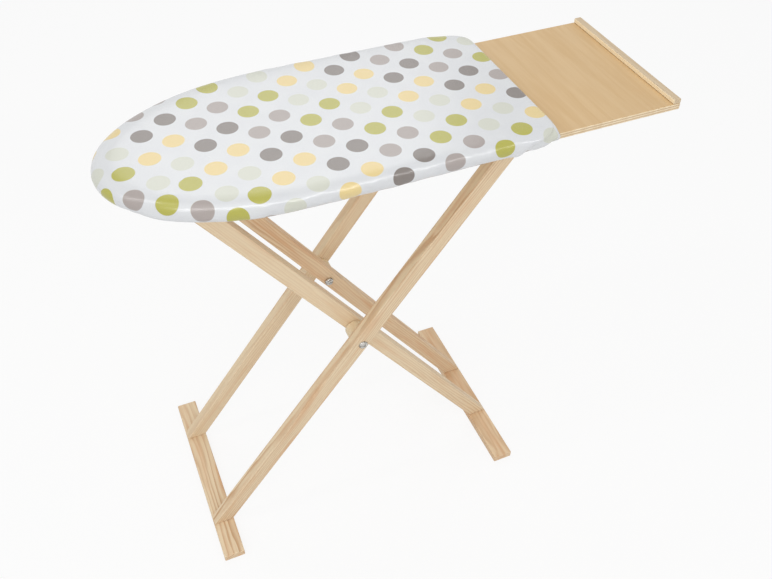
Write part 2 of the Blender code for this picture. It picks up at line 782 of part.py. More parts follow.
def build():
    """Make every piece of the board."""
    inner_axis = joint_axis("inner_frame_axis", Vector((INNER_PIVOT_X, 0.0, PIVOT_Z)))
    outer_axis = joint_axis("outer_frame_axis", Vector((CROSSING_X, 0.0, CROSSING_Z)))
    hold(outer_axis, inner_axis)

    head_z = BOARD_HEIGHT - SCREW_HEAD_SINK
    plate_holes = []
    for side_name, side in SIDES:
        block_holes = []
        for end_name, offset in (("front", -BLOCK_SCREW_FROM_ROD), ("rear", BLOCK_SCREW_FROM_ROD)):
            block_holes.append(wood_screw(
                f"block_screw_{side_name}_{end_name}", BOARD_SCREW_LENGTH,
                (INNER_PIVOT_X + offset, side * BLOCK_Y, head_z),
            )[1])
        make_pivot_block(side_name, side, block_holes)
        rail_holes = []
        for end_name, pitches in RAIL_SCREW_PITCHES:
            rail_holes.append(wood_screw(
                f"rail_screw_{side_name}_{end_name}", BOARD_SCREW_LENGTH,
                (OUTER_PIVOT_X + pitches * NOTCH_PITCH, side * RAIL_Y, head_z),
            )[1])
        make_rail(side_name, side, rail_holes)
        plate_holes += block_holes + rail_holes
    make_plate(plate_holes)
    make_tray_strip()
    make_pad()
    make_cover()
    make_elastic()
    hold(make_rod("pivot_rod", INNER_PIVOT_X, 2 * (INNER_LEG_FACE + LEG_THICKNESS)), inner_axis)

    make_frame("inner", INNER_RUN, INNER_PIVOT_X, INNER_LEG_Y, inner_axis)
    make_frame("outer", OUTER_RUN, OUTER_PIVOT_X, OUTER_LEG_Y, outer_axis)
    hold(make_rod("loose_rod", OUTER_PIVOT_X, 2 * OUTER_LEG_FACE), outer_axis)
    for side_name, side in SIDES:
        make_crossing(side_name, side, inner_axis)


build()
print("inner pivot", INNER_PIVOT_X, PIVOT_Z)
print("crossing", CROSSING_X, CROSSING_Z)
print("outer pivot", OUTER_PIVOT_X)
print("foot bars", INNER_FOOT_X, OUTER_FOOT_X)
print("leg angles in degrees", math.degrees(INNER_LEG_ANGLE), math.degrees(OUTER_LEG_ANGLE))
print("crossing turn for each turn of the fold", 1 + OUTER_LEG_ANGLE / INNER_LEG_ANGLE)
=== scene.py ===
# %% [markdown]
# # Folding toy ironing board
#
# The board is plywood on crossed pine legs. Its rounded end carries a foam pad
# under a satin cover with coloured dots, and its square end is a bare tray.
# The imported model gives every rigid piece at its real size. This lesson adds
# what a maker would call the finish: grain, plies, steel, foam and cloth.
#
# The wood, the screws and the elastic keep their solids and only get materials.
# The cover and the pad are soft, so they are made here.

import math
from collections import namedtuple

import bmesh
import bpy
import numpy as np
from mathutils import Matrix, Vector, noise


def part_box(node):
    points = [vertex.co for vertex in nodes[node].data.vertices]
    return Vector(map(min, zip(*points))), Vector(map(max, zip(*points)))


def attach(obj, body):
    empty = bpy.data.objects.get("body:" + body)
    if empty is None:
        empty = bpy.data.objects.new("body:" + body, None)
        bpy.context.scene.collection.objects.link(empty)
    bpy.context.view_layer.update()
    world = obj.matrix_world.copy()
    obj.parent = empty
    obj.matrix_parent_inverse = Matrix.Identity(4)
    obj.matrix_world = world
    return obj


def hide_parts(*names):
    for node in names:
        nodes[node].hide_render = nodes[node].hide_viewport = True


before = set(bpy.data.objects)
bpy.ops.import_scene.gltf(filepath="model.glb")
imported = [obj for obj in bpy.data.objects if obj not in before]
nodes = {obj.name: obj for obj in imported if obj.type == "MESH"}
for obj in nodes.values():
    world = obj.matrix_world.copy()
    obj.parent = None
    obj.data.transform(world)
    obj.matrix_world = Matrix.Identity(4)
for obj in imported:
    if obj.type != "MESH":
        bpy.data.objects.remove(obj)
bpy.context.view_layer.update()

# %% [markdown]
# ## The camera
#
# The camera stands a little above the board, in front of its long side, with
# the nose at the left. A matrix with the camera's right, up and back vectors as
# columns places it in one step, with the slight roll of the picture in it.

# %% Set up the camera
CAMERA_PLACE = Vector((-0.3388, -0.78012, 1.15214))
CAMERA_AZIMUTH = math.radians(-23.68)
CAMERA_ELEVATION = math.radians(44.81)
CAMERA_ROLL = math.radians(0.87)
CAMERA_LENS = 39.06

back = Vector((
    math.sin(CAMERA_AZIMUTH) * math.cos(CAMERA_ELEVATION),
    -math.cos(CAMERA_AZIMUTH) * math.cos(CAMERA_ELEVATION),
    math.sin(CAMERA_ELEVATION),
))
level_right = Vector((math.cos(CAMERA_AZIMUTH), math.sin(CAMERA_AZIMUTH), 0.0))
level_up = back.cross(level_right)
right = math.cos(CAMERA_ROLL) * level_right + math.sin(CAMERA_ROLL) * level_up
up = math.cos(CAMERA_ROLL) * level_up - math.sin(CAMERA_ROLL) * level_right

camera_data = bpy.data.cameras.new("camera")
camera_data.lens = CAMERA_LENS
camera_data.sensor_width = 36.0
camera_data.clip_start = 0.01
camera = bpy.data.objects.new("camera", camera_data)
camera.matrix_world = Matrix.Translation(CAMERA_PLACE) @ Matrix((right, up, back)).transposed().to_4x4()
bpy.context.scene.collection.objects.link(camera)
bpy.context.scene.camera = camera
print("camera height in mm:", round(1000 * camera.location.z))

# %% [markdown]
# ## Small helpers for node trees
#
# A material is a tree of shader nodes. These helpers add a node, wire its
# inputs and give back its output socket, so that a tree reads like a formula.
# `colour` turns the 0 to 255 values of a paint program into linear light.

# %% Define the node helpers
def linear(value):
    """One 0 to 255 screen value as linear light."""
    share = value / 255
    return share / 12.92 if share <= 0.04045 else ((share + 0.055) / 1.055) ** 2.4


def colour(red, green, blue):
    """A screen colour as linear light, with full alpha."""
    return (linear(red), linear(green), linear(blue), 1.0)


def add(tree, kind, inputs=None, **settings):
    """Add a node, set its properties, and wire or fill its inputs."""
    made = tree.nodes.new(kind)
    for name, value in settings.items():
        setattr(made, name, value)
    for name, value in (inputs or {}).items():
        if isinstance(value, bpy.types.NodeSocket):
            tree.links.new(value, made.inputs[name])
        else:
            made.inputs[name].default_value = value
    return made


def calc(tree, operation, first, second=None):
    """A Math node's result, where COMPARE tells whether whole numbers are equal."""
    inputs = {0: first} if second is None else {0: first, 1: second}
    if operation == "COMPARE":
        inputs[2] = 0.5
    return add(tree, "ShaderNodeMath", inputs, operation=operation).outputs[0]


def fade(tree, value, start, end, low=0.0, high=1.0):
    """A smooth step from low to high, between a start and an end value."""
    inputs = {"Value": value, "From Min": start, "From Max": end, "To Min": low, "To Max": high}
    return add(tree, "ShaderNodeMapRange", inputs, interpolation_type="SMOOTHSTEP").outputs[0]


def blend_colours(tree, share, first, second):
    """Two colours mixed by a share."""
    mix = tree.nodes.new("ShaderNodeMix")
    mix.data_type = "RGBA"
    for socket, value in ((mix.inputs[0], share), (mix.inputs[6], first), (mix.inputs[7], second)):
        if isinstance(value, bpy.types.NodeSocket):
            tree.links.new(value, socket)
        else:
            socket.default_value = value
    return mix.outputs[2]


def new_group(name, inputs, outputs):
    """Start a node group with named sockets."""
    tree = bpy.data.node_groups.new(name, "ShaderNodeTree")
    for label, kind, value in inputs:
        socket = tree.interface.new_socket(label, in_out="INPUT", socket_type="NodeSocket" + kind)
        if value is not None:
            socket.default_value = value
    for label, kind in outputs:
        tree.interface.new_socket(label, in_out="OUTPUT", socket_type="NodeSocket" + kind)
    entry = tree.nodes.new("NodeGroupInput")
    way_out = tree.nodes.new("NodeGroupOutput")
    return tree, entry.outputs, way_out.inputs


def new_material(name, roughness=0.5, metallic=0.0):
    """Start a material and give its tree and its Principled BSDF."""
    paint = bpy.data.materials.new(name)
    paint.use_nodes = True
    shader = paint.node_tree.nodes["Principled BSDF"]
    shader.inputs["Roughness"].default_value = roughness
    shader.inputs["Metallic"].default_value = metallic
    return paint, paint.node_tree, shader


def use_group(tree, group, inputs):
    """Place a node group in a tree."""
    made = tree.nodes.new("ShaderNodeGroup")
    made.node_tree = group
    for name, value in inputs.items():
        if isinstance(value, bpy.types.NodeSocket):
            tree.links.new(value, made.inputs[name])
        else:
            made.inputs[name].default_value = value
    return made.outputs


def bump(tree, shader, height, distance):
    """Feed a height, times a distance in metres, into the shader's normal."""
    relief = add(tree, "ShaderNodeBump", {"Height": height, "Distance": distance, "Strength": 1.0})
    tree.links.new(relief.outputs["Normal"], shader.inputs["Normal"])


# %% [markdown]
# ## Wood grain, one group for every pine piece
#
# Grain is what a saw shows of a tree's rings: the rings are cylinders round the
# pith, so distance from a far axis gives straight lines on a stick's faces and
# arcs on its ends. A group holds this once. Its X runs along the grain, and each
# material turns and shifts its coordinates with a Mapping node before it, so no
# two sticks come from the same part of the tree.

# %% Build the pine grain group
RING_WANDER = 0.016


def make_pine_grain():
    """Rings, soft red patches and fine fibres along X."""
    tree, entry, out = new_group(
        "pine_grain",
        [
            ("Vector", "Vector", None),
            ("Ring Width", "Float", 0.0036),
            ("Figure", "Float", 0.6),
            ("Pale", "Color", colour(232, 211, 178)),
            ("Ring", "Color", colour(190, 143, 98)),
            ("Blush", "Color", colour(217, 176, 135)),
        ],
        [("Colour", "Color"), ("Roughness", "Float"), ("Height", "Float")],
    )
    drift = add(tree, "ShaderNodeMapping", {"Vector": entry["Vector"], "Scale": (5.0, 40.0, 40.0)})
    wander = add(tree, "ShaderNodeTexNoise", {"Vector": drift.outputs[0], "Scale": 1.0, "Detail": 3.0})
    across = add(tree, "ShaderNodeVectorMath", {0: entry["Vector"], 1: (0.0, 1.0, 1.0)}, operation="MULTIPLY")
    distance = add(tree, "ShaderNodeVectorMath", {0: across.outputs[0]}, operation="LENGTH").outputs["Value"]
    shift = calc(tree, "MULTIPLY", calc(tree, "SUBTRACT", wander.outputs["Fac"], 0.5), RING_WANDER)
    rings = calc(tree, "DIVIDE", calc(tree, "ADD", distance, shift), entry["Ring Width"])
    phase = calc(tree, "FRACT", rings)
    rise = fade(tree, phase, 0.15, 0.82)
    drop = fade(tree, phase, 0.86, 1.0, 1.0, 0.0)
    late = calc(tree, "MULTIPLY", calc(tree, "POWER", rise, 1.6), drop)

    age = add(tree, "ShaderNodeTexNoise", {"Vector": drift.outputs[0], "Scale": 0.45, "Detail": 2.0})
    vigour = fade(tree, age.outputs["Fac"], 0.35, 0.65, 0.35, 1.0)
    stretched = add(tree, "ShaderNodeMapping", {"Vector": entry["Vector"], "Scale": (18.0, 900.0, 900.0)})
    fibre = add(tree, "ShaderNodeTexNoise", {"Vector": stretched.outputs[0], "Scale": 1.0, "Detail": 3.0})
    long_patch = add(tree, "ShaderNodeMapping", {"Vector": entry["Vector"], "Scale": (9.0, 110.0, 110.0)})
    patch = add(tree, "ShaderNodeTexNoise", {"Vector": long_patch.outputs[0], "Scale": 1.0, "Detail": 2.0})

    ring_share = calc(tree, "MULTIPLY", calc(tree, "MULTIPLY", late, vigour), entry["Figure"])
    wood = blend_colours(tree, ring_share, entry["Pale"], entry["Ring"])
    blush_share = calc(tree, "MULTIPLY", fade(tree, patch.outputs["Fac"], 0.45, 0.75), entry["Figure"])
    wood = blend_colours(tree, blush_share, wood, entry["Blush"])
    fibre_share = fade(tree, fibre.outputs["Fac"], 0.5, 0.8, 0.0, 0.22)
    wood = blend_colours(tree, fibre_share, wood, entry["Ring"])
    tree.links.new(wood, out["Colour"])
    tree.links.new(fade(tree, fibre.outputs["Fac"], 0.3, 0.7, 0.5, 0.66), out["Roughness"])
    relief = calc(tree, "ADD", calc(tree, "MULTIPLY", late, 0.5), fibre.outputs["Fac"])
    tree.links.new(relief, out["Height"])
    return tree


PINE_GRAIN = make_pine_grain()
print("sockets of the grain group:", len(PINE_GRAIN.interface.items_tree))

# %% [markdown]
# ## Pine pieces
#
# Each stick gets a material of its own. The turn lays the group's X along the
# stick: a leg leans, so its grain is turned about Y by the leg's angle, while a
# foot bar's grain runs across the board. The shift picks the place in the tree.
# The tray's end strip is painted greyer, as painted shade on its top, and its
# face towards the tray is painted paler, as painted light.

# %% Give each pine piece its grain
INNER_LEG_ANGLE = math.radians(54.71)
OUTER_LEG_ANGLE = math.radians(53.36)
GRAIN_RELIEF = 0.00008
ALONG_X = (0.0, 0.0, 0.0)
ALONG_Y = (0.0, 0.0, -math.pi / 2)
ALONG_INNER_LEG = (0.0, -INNER_LEG_ANGLE, 0.0)
ALONG_OUTER_LEG = (0.0, OUTER_LEG_ANGLE, 0.0)
FIGURED = {"Figure": 0.8}
PLAIN = {"Figure": 0.4}
WARM = {"Figure": 0.7, "Pale": colour(229, 203, 168), "Blush": colour(212, 165, 122)}
PALE = {
    "Figure": 0.4,
    "Pale": colour(238, 222, 190),
    "Ring": colour(214, 186, 146),
    "Blush": colour(226, 204, 168),
}
# Greyer pine for the tray's end strip: painted shade for the strip's top.
SHADED_STRIP = {
    "Figure": 0.4,
    "Pale": colour(214, 194, 164),
    "Ring": colour(192, 166, 132),
    "Blush": colour(203, 180, 148),
}


def pine_finish(piece, turn, shift, look):
    """A sanded pine material for one piece."""
    paint, tree, shader = new_material(piece + "_pine", 0.58)
    place = add(tree, "ShaderNodeTexCoord").outputs["Object"]
    turned = add(tree, "ShaderNodeMapping", {"Vector": place, "Rotation": turn, "Location": shift})
    grain = use_group(tree, PINE_GRAIN, {"Vector": turned.outputs[0], **look})
    tree.links.new(grain["Colour"], shader.inputs["Base Color"])
    tree.links.new(grain["Roughness"], shader.inputs["Roughness"])
    bump(tree, shader, grain["Height"], GRAIN_RELIEF)
    shader.inputs["Specular IOR Level"].default_value = 0.4
    return paint


def paint_light_on_inner_face(paint):
    """Paint light onto the face that looks at the tray: painted light, paler than the other faces."""
    tree = paint.node_tree
    base = tree.nodes["Principled BSDF"].inputs["Base Color"]
    normal = add(tree, "ShaderNodeTexCoord").outputs["Normal"]
    facing = add(tree, "ShaderNodeSeparateXYZ", {"Vector": normal}).outputs["X"]
    # The face towards the tray is mixed towards a pale colour: painted light.
    share = fade(tree, facing, -0.6, -0.9)
    painted_light = blend_colours(tree, share, base.links[0].from_socket, colour(255, 238, 204))
    tree.links.new(painted_light, base)


def dress(node, paint):
    """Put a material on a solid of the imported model."""
    mesh = nodes[node].data
    mesh.materials.clear()
    mesh.materials.append(paint)


PINE_PIECES = [
    ("inner_leg_near", ALONG_INNER_LEG, (0.31, 0.075, 0.012), PLAIN),
    ("inner_leg_far", ALONG_INNER_LEG, (0.87, -0.018, -0.022), WARM),
    ("outer_leg_near", ALONG_OUTER_LEG, (1.73, 0.128, -0.02), FIGURED),
    ("outer_leg_far", ALONG_OUTER_LEG, (2.41, -0.057, 0.03), PLAIN),
    ("inner_foot_bar", ALONG_Y, (3.2, 0.14, 0.04), WARM),
    ("outer_foot_bar", ALONG_Y, (4.1, -0.27, 0.045), FIGURED),
    ("pivot_block_near", ALONG_X, (5.3, 0.06, -0.55), PLAIN),
    ("pivot_block_far", ALONG_X, (6.1, -0.01, -0.56), PLAIN),
    ("notched_rail_near", ALONG_X, (7.7, 0.09, -0.56), PLAIN),
    ("notched_rail_far", ALONG_X, (8.9, -0.04, -0.55), PLAIN),
    ("tray_end_strip", ALONG_Y, (9.4, 0.36, -0.57), SHADED_STRIP),
    ("pivot_rod", ALONG_Y, (10.2, -0.23, -0.56), PALE),
    ("loose_rod", ALONG_Y, (11.8, 0.13, -0.55), PALE),
    ("crossing_spacer_near", ALONG_Y, (12.5, -0.06, -0.31), PALE),
    ("crossing_spacer_far", ALONG_Y, (13.1, -0.05, -0.30), PALE),
]
for piece, turn, shift, look in PINE_PIECES:
    dress(piece, pine_finish(piece, turn, shift, look))
paint_light_on_inner_face(nodes["tray_end_strip"].data.materials[0])
print("pine pieces:", len(PINE_PIECES))

# %% [markdown]
# ## Plywood
#
# The tray is five plies of birch. Its face shows a rotary-cut veneer: long soft
# streaks across the board and little contrast. Its edge shows the plies as
# stripes, one lighter and one darker in turn, with a thin glue line; their
# colours are painted brighter, as painted light, because the lamps light the
# upright edge less. The height in the board picks the ply, and how far a face
# looks sideways decides whether the plies or the veneer show.

# %% Make the plywood
PLATE_LOW, PLATE_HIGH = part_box("board_plate")
PLY_COUNT = 5
PLY_THICKNESS = (PLATE_HIGH.z - PLATE_LOW.z) / PLY_COUNT


def make_plywood():
    """Face veneer above and below, plies on the edges."""
    paint, tree, shader = new_material("board_plywood", 0.5)
    coordinates = add(tree, "ShaderNodeTexCoord").outputs
    place = coordinates["Object"]
    streaks = add(tree, "ShaderNodeMapping", {"Vector": place, "Scale": (95.0, 7.0, 30.0)})
    veneer = add(
        tree, "ShaderNodeTexNoise",
        {"Vector": streaks.outputs[0], "Scale": 1.0, "Detail": 5.0, "Distortion": 0.6},
    )
    fibres = add(tree, "ShaderNodeMapping", {"Vector": place, "Scale": (1400.0, 35.0, 1400.0)})
    pores = add(tree, "ShaderNodeTexNoise", {"Vector": fibres.outputs[0], "Scale": 1.0, "Detail": 2.0})
    clouds = add(tree, "ShaderNodeTexNoise", {"Vector": place, "Scale": 14.0, "Detail": 2.0})
    face = blend_colours(
        tree, fade(tree, veneer.outputs["Fac"], 0.32, 0.72),
        colour(216, 184, 137), colour(209, 175, 127),
    )
    cloudy = fade(tree, clouds.outputs["Fac"], 0.4, 0.7, 0.0, 0.3)
    face = blend_colours(tree, cloudy, face, colour(208, 177, 132))
    porous = fade(tree, pores.outputs["Fac"], 0.55, 0.75, 0.0, 0.18)
    face = blend_colours(tree, porous, face, colour(184, 148, 104))

    height = add(tree, "ShaderNodeSeparateXYZ", {"Vector": place}).outputs["Z"]
    depth = calc(tree, "SUBTRACT", PLATE_HIGH.z, height)
    ply = calc(tree, "DIVIDE", depth, PLY_THICKNESS)
    parity = calc(tree, "FLOORED_MODULO", calc(tree, "FLOOR", ply), 2.0)
    # Both ply colours are painted brighter than the plies are: painted light on the upright edge.
    light_ply = blend_colours(
        tree, fade(tree, veneer.outputs["Fac"], 0.3, 0.7), colour(250, 234, 204), colour(236, 214, 178),
    )
    dark_ply = blend_colours(
        tree, fade(tree, pores.outputs["Fac"], 0.35, 0.65), colour(222, 196, 160), colour(204, 174, 136),
    )
    edge = blend_colours(tree, parity, light_ply, dark_ply)
    glue_line = calc(tree, "ABSOLUTE", calc(tree, "SUBTRACT", calc(tree, "FRACT", ply), 0.5))
    edge = blend_colours(tree, fade(tree, glue_line, 0.42, 0.5, 0.0, 0.6), edge, colour(128, 92, 60))

    normal = add(tree, "ShaderNodeSeparateXYZ", {"Vector": coordinates["Normal"]}).outputs["Z"]
    flat = fade(tree, calc(tree, "ABSOLUTE", normal), 0.45, 0.75)
    tree.links.new(blend_colours(tree, flat, edge, face), shader.inputs["Base Color"])
    tree.links.new(fade(tree, veneer.outputs["Fac"], 0.3, 0.7, 0.42, 0.55), shader.inputs["Roughness"])
    bump(tree, shader, pores.outputs["Fac"], 0.00006)
    return paint


dress("board_plate", make_plywood())
print("ply in mm:", round(1000 * PLY_THICKNESS, 2))

# %% [markdown]
# ## Steel
#
# The barrel nuts and the bolts are nickel-plated steel, and the wood screws are
# zinc-plated. A metal's colour is what it reflects, so the base is a warm grey,
# and fine marks in the roughness keep the heads from looking like glass.

# %% Make the steel
def make_steel(name, tint, roughness):
    """Plated steel with faint marks and dull spots."""
    paint, tree, shader = new_material(name, roughness, 1.0)
    place = add(tree, "ShaderNodeTexCoord").outputs["Object"]
    marks = add(tree, "ShaderNodeTexNoise", {"Vector": place, "Scale": 900.0, "Detail": 3.0})
    dull = add(tree, "ShaderNodeTexNoise", {"Vector": place, "Scale": 220.0, "Detail": 2.0})
    shade = blend_colours(tree, fade(tree, dull.outputs["Fac"], 0.35, 0.7), tint, colour(150, 147, 142))
    tree.links.new(shade, shader.inputs["Base Color"])
    tree.links.new(
        fade(tree, marks.outputs["Fac"], 0.3, 0.7, roughness - 0.06, roughness + 0.1),
        shader.inputs["Roughness"],
    )
    bump(tree, shader, marks.outputs["Fac"], 0.00002)
    return paint


NICKEL = make_steel("nickel_plated_steel", colour(206, 204, 200), 0.26)
ZINC = make_steel("zinc_plated_steel", colour(196, 194, 184), 0.38)
steel_pieces = sorted(name for name in nodes if "screw" in name or "nut" in name or "bolt" in name)
for piece in steel_pieces:
    dress(piece, ZINC if "screw" in piece else NICKEL)
print("steel pieces:", len(steel_pieces))

# %% [markdown]
# ## The cover's pattern
#
# The cover is printed with round dots in five muted colours. The dots sit on a
# centred lattice: rows along and across, with every second row shifted by half
# a step. Two numbers, i and j, count along the lattice's diagonals. Rounding
# them gives the nearest dot, and the pair picks its colour, so no picture of
# the cloth is needed. Where the nose gathers the cloth, the dots of two
# diagonals sit a little off their places, and so does the row that the hem tucks
# under the board. The pattern reads the cloth's own flat place, which is where
# each bit of cloth lay before it was rolled over the edge.

# %% Build the dot pattern group
DOT_ALONG = Vector((0.03094, 0.00093))
DOT_DOWN = Vector((-0.00024, -0.02262))
DOT_START = Vector((-0.24653, 0.06543))
DOT_RADIUS = 0.0124
DOT_EDGE = 0.0004
GREEN_ROW = 3
GREEN_LAST = 5
GREEN_SHIFT = 0.0075
RIM_ROW = 4
RIM_SHIFT = Vector((0.001, 0.0115))
TUCKED_ROW = 10
TUCKED_SHIFT = 0.004
COLOUR_STEP = 5.0
CLOTH_SPAN = 0.8
DOT_COLOURS = [
    colour(116, 106, 99),
    colour(206, 208, 194),
    colour(162, 151, 146),
    colour(228, 203, 134),
    colour(173, 169, 34),
]


def weigh(tree, first, second, weights):
    """The sum of two values, each times its weight."""
    return calc(
        tree, "ADD", calc(tree, "MULTIPLY", first, weights[0]), calc(tree, "MULTIPLY", second, weights[1]),
    )


def make_dot_pattern():
    """The mask and the colour of the printed dots."""
    tree, entry, out = new_group(
        "dot_pattern",
        [("Vector", "Vector", None)],
        [("Mask", "Float"), ("Colour", "Color"), ("Diagonal", "Float")],
    )
    place = add(tree, "ShaderNodeSeparateXYZ", {"Vector": entry["Vector"]}).outputs
    x = calc(tree, "SUBTRACT", place["X"], DOT_START.x)
    y = calc(tree, "SUBTRACT", place["Y"], DOT_START.y)
    counts = Matrix((DOT_ALONG, DOT_DOWN)).transposed().inverted()
    along, down = (weigh(tree, x, y, row) for row in counts)
    i = calc(tree, "ROUND", calc(tree, "MULTIPLY", calc(tree, "ADD", along, down), 0.5))
    j = calc(tree, "ROUND", calc(tree, "MULTIPLY", calc(tree, "SUBTRACT", down, along), 0.5))
    odd_row = calc(tree, "FLOORED_MODULO", i, 2.0)
    near_tip = calc(tree, "LESS_THAN", i, GREEN_LAST + 0.5)
    at_green = calc(tree, "COMPARE", j, GREEN_ROW)
    shifted = calc(tree, "MULTIPLY", at_green, calc(tree, "MULTIPLY", odd_row, near_tip))
    rearward = calc(tree, "LESS_THAN", j, RIM_ROW - 1.5)
    tucked = calc(tree, "MULTIPLY", calc(tree, "COMPARE", calc(tree, "ADD", i, j), TUCKED_ROW), rearward)
    aside = calc(tree, "SUBTRACT", along, calc(tree, "SUBTRACT", i, j))
    below = calc(tree, "SUBTRACT", down, calc(tree, "ADD", i, j))
    offset_y = weigh(tree, aside, below, (DOT_ALONG.y, DOT_DOWN.y))
    offset = add(tree, "ShaderNodeCombineXYZ", {
        "X": weigh(tree, aside, below, (DOT_ALONG.x, DOT_DOWN.x)),
        "Y": calc(tree, "SUBTRACT", offset_y, weigh(tree, shifted, tucked, (GREEN_SHIFT, -TUCKED_SHIFT))),
    })
    distance = add(tree, "ShaderNodeVectorMath", {0: offset.outputs[0]}, operation="LENGTH").outputs["Value"]
    tree.links.new(fade(tree, distance, DOT_RADIUS - DOT_EDGE, DOT_RADIUS + DOT_EDGE, 1.0, 0.0), out["Mask"])

    kinds = float(len(DOT_COLOURS))
    stepped = calc(tree, "ADD", j, calc(tree, "MULTIPLY", odd_row, COLOUR_STEP))
    pairs = calc(tree, "FLOOR", calc(tree, "MULTIPLY", stepped, 0.5))
    index = calc(tree, "FLOORED_MODULO", pairs, kinds)
    share = calc(tree, "DIVIDE", calc(tree, "ADD", index, 0.5), kinds)
    ramp = add(tree, "ShaderNodeValToRGB", {"Fac": share})
    ramp.color_ramp.interpolation = "CONSTANT"
    stops = ramp.color_ramp.elements
    while len(stops) < len(DOT_COLOURS):
        stops.new(1.0)
    for number, tint in enumerate(DOT_COLOURS):
        stops[number].position = number / len(DOT_COLOURS)
        stops[number].color = tint
    tree.links.new(ramp.outputs["Color"], out["Colour"])
    tree.links.new(j, out["Diagonal"])
    return tree


DOT_PATTERN = make_dot_pattern()
print("dot colours:", len(DOT_COLOURS))

# %% [markdown]
# ## Cover cloth
#
# The cloth is a satin: smooth, with a soft gloss and threads too fine to see
# from a step away. A very fine weave in the bump breaks the gloss up, and a
# little sheen lightens it where it turns away.

# %% Make the cover's cloth
def make_cover_cloth():
    """Printed satin that follows the cloth's flat place."""
    paint, tree, shader = new_material("printed_satin", 0.4)
    flat_place = add(tree, "ShaderNodeUVMap", uv_map="flat_place").outputs["UV"]
    metres = add(
        tree, "ShaderNodeMapping",
        {"Vector": flat_place, "Location": (-CLOTH_SPAN / 2, -CLOTH_SPAN / 2, 0.0),
         "Scale": (CLOTH_SPAN, CLOTH_SPAN, 1.0)},
    ).outputs[0]
    dots = use_group(tree, DOT_PATTERN, {"Vector": metres})
    moved = add(
        tree, "ShaderNodeMapping", {"Vector": metres, "Location": (-RIM_SHIFT.x, -RIM_SHIFT.y, 0.0)},
    ).outputs[0]
    rim_dots = use_group(tree, DOT_PATTERN, {"Vector": moved})
    in_place = calc(tree, "SUBTRACT", 1.0, calc(tree, "COMPARE", dots["Diagonal"], RIM_ROW))
    rim_mask = calc(tree, "MULTIPLY", rim_dots["Mask"], calc(tree, "COMPARE", rim_dots["Diagonal"], RIM_ROW))
    mask = calc(tree, "MAXIMUM", calc(tree, "MULTIPLY", dots["Mask"], in_place), rim_mask)
    ink = blend_colours(tree, rim_mask, dots["Colour"], rim_dots["Colour"])
    mottle = add(tree, "ShaderNodeTexNoise", {"Vector": metres, "Scale": 30.0, "Detail": 2.0})
    base = blend_colours(
        tree, fade(tree, mottle.outputs["Fac"], 0.3, 0.7), colour(217, 219, 221), colour(214, 216, 219),
    )
    threads = add(tree, "ShaderNodeTexNoise", {"Vector": metres, "Scale": 1400.0, "Detail": 1.0})
    print_share = calc(tree, "MULTIPLY", mask, fade(tree, threads.outputs["Fac"], 0.2, 0.8, 0.9, 1.0))
    printed = blend_colours(tree, print_share, base, ink)
    tree.links.new(printed, shader.inputs["Base Color"])
    weave = add(
        tree, "ShaderNodeTexWave", {"Vector": metres, "Scale": 520.0, "Distortion": 1.0},
        wave_type="BANDS", bands_direction="DIAGONAL",
    )
    tree.links.new(fade(tree, threads.outputs["Fac"], 0.2, 0.8, 0.2, 0.3), shader.inputs["Roughness"])
    relief = calc(tree, "ADD", calc(tree, "MULTIPLY", weave.outputs["Fac"], 0.5), threads.outputs["Fac"])
    bump(tree, shader, relief, 0.00003)
    shader.inputs["Specular IOR Level"].default_value = 1.0
    shader.inputs["Sheen Weight"].default_value = 0.08
    shader.inputs["Sheen Roughness"].default_value = 0.4
    return paint


COVER_CLOTH = make_cover_cloth()
print("cover cloth:", COVER_CLOTH.name)

# %% [markdown]
# ## Cutting the cover
#
# The cover is one cloth. It lies flat on the pad, rolls over the edge, goes
# under the board and ends in a hem that an elastic draws in. Seen from the
# side, this is a section: how far out the cloth reaches, and how high it lies.
# Seen from above, the section sweeps round the board: along one side, round
# the half ellipse of the nose, and back along the other side.
#
# A grid follows both: columns go round the board, and rings go from the hem to
# the middle of the top. With each point comes its flat place, the point of the
# uncut cloth that ends up there, kept as a UV map for the printed dots.

# %% Describe the section
HALF_WIDTH = PLATE_HIGH.y
TRAY_TOP = PLATE_HIGH.z
CLOTH_THICKNESS = 0.0008
RING_STEP = 0.0036
TOP_RINGS = 15

# How far the cloth reaches past the plywood's edge, and its height over the tray
SECTION = [
    (-0.0262, -0.0090), (-0.0264, -0.0104), (-0.0250, -0.0117), (-0.0232, -0.0119),
    (-0.0212, -0.0108), (-0.0180, -0.0102), (-0.0120, -0.0101), (-0.0060, -0.0101),
    (-0.0013, -0.0100), (0.0039, -0.0076), (0.0060, -0.0033), (0.0065, 0.0020),
    (0.0055, 0.0058), (0.0023, 0.0096), (-0.0034, 0.0122), (-0.0112, 0.0135),
    (-0.0195, 0.0139),
]
ROLL_REACH, FULL_HEIGHT = SECTION[-1]

# The flap behind a rear corner ends at this height, on the section's outer part
FLAP_HEIGHT = -0.0015
OUTER_PART = 8

path = np.array(SECTION)
SECTION_RUN = np.concatenate([[0.0], np.cumsum(np.linalg.norm(np.diff(path, axis=0), axis=1))])
RINGS = round(SECTION_RUN[-1] / RING_STEP)
print("cloth from the hem to the flat top in mm:", round(1000 * SECTION_RUN[-1]), "rings:", RINGS)

# %% [markdown]
# Seen from above, the rear end ends in a rounded edge, where the cloth comes
# down to the tray in a few close columns. Round the nose, the columns stand at
# even steps of the ellipse, and each looks along the ellipse's own normal, so
# that the cloth rolls over the edge square to it.

# %% Lay out the columns
Column = namedtuple("Column", "kind where lift flat_shift")

NOSE_LENGTH = 0.220
NOSE_CENTRE_X = PLATE_LOW.x + NOSE_LENGTH
COVER_REAR_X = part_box("cover")[1].x
REAR_ROUND = 0.008
REAR_EDGE_HEIGHT = 0.0011
REAR_COLUMNS = 6
COLUMN_STEP = 0.0045
FINE_STEPS = 2001


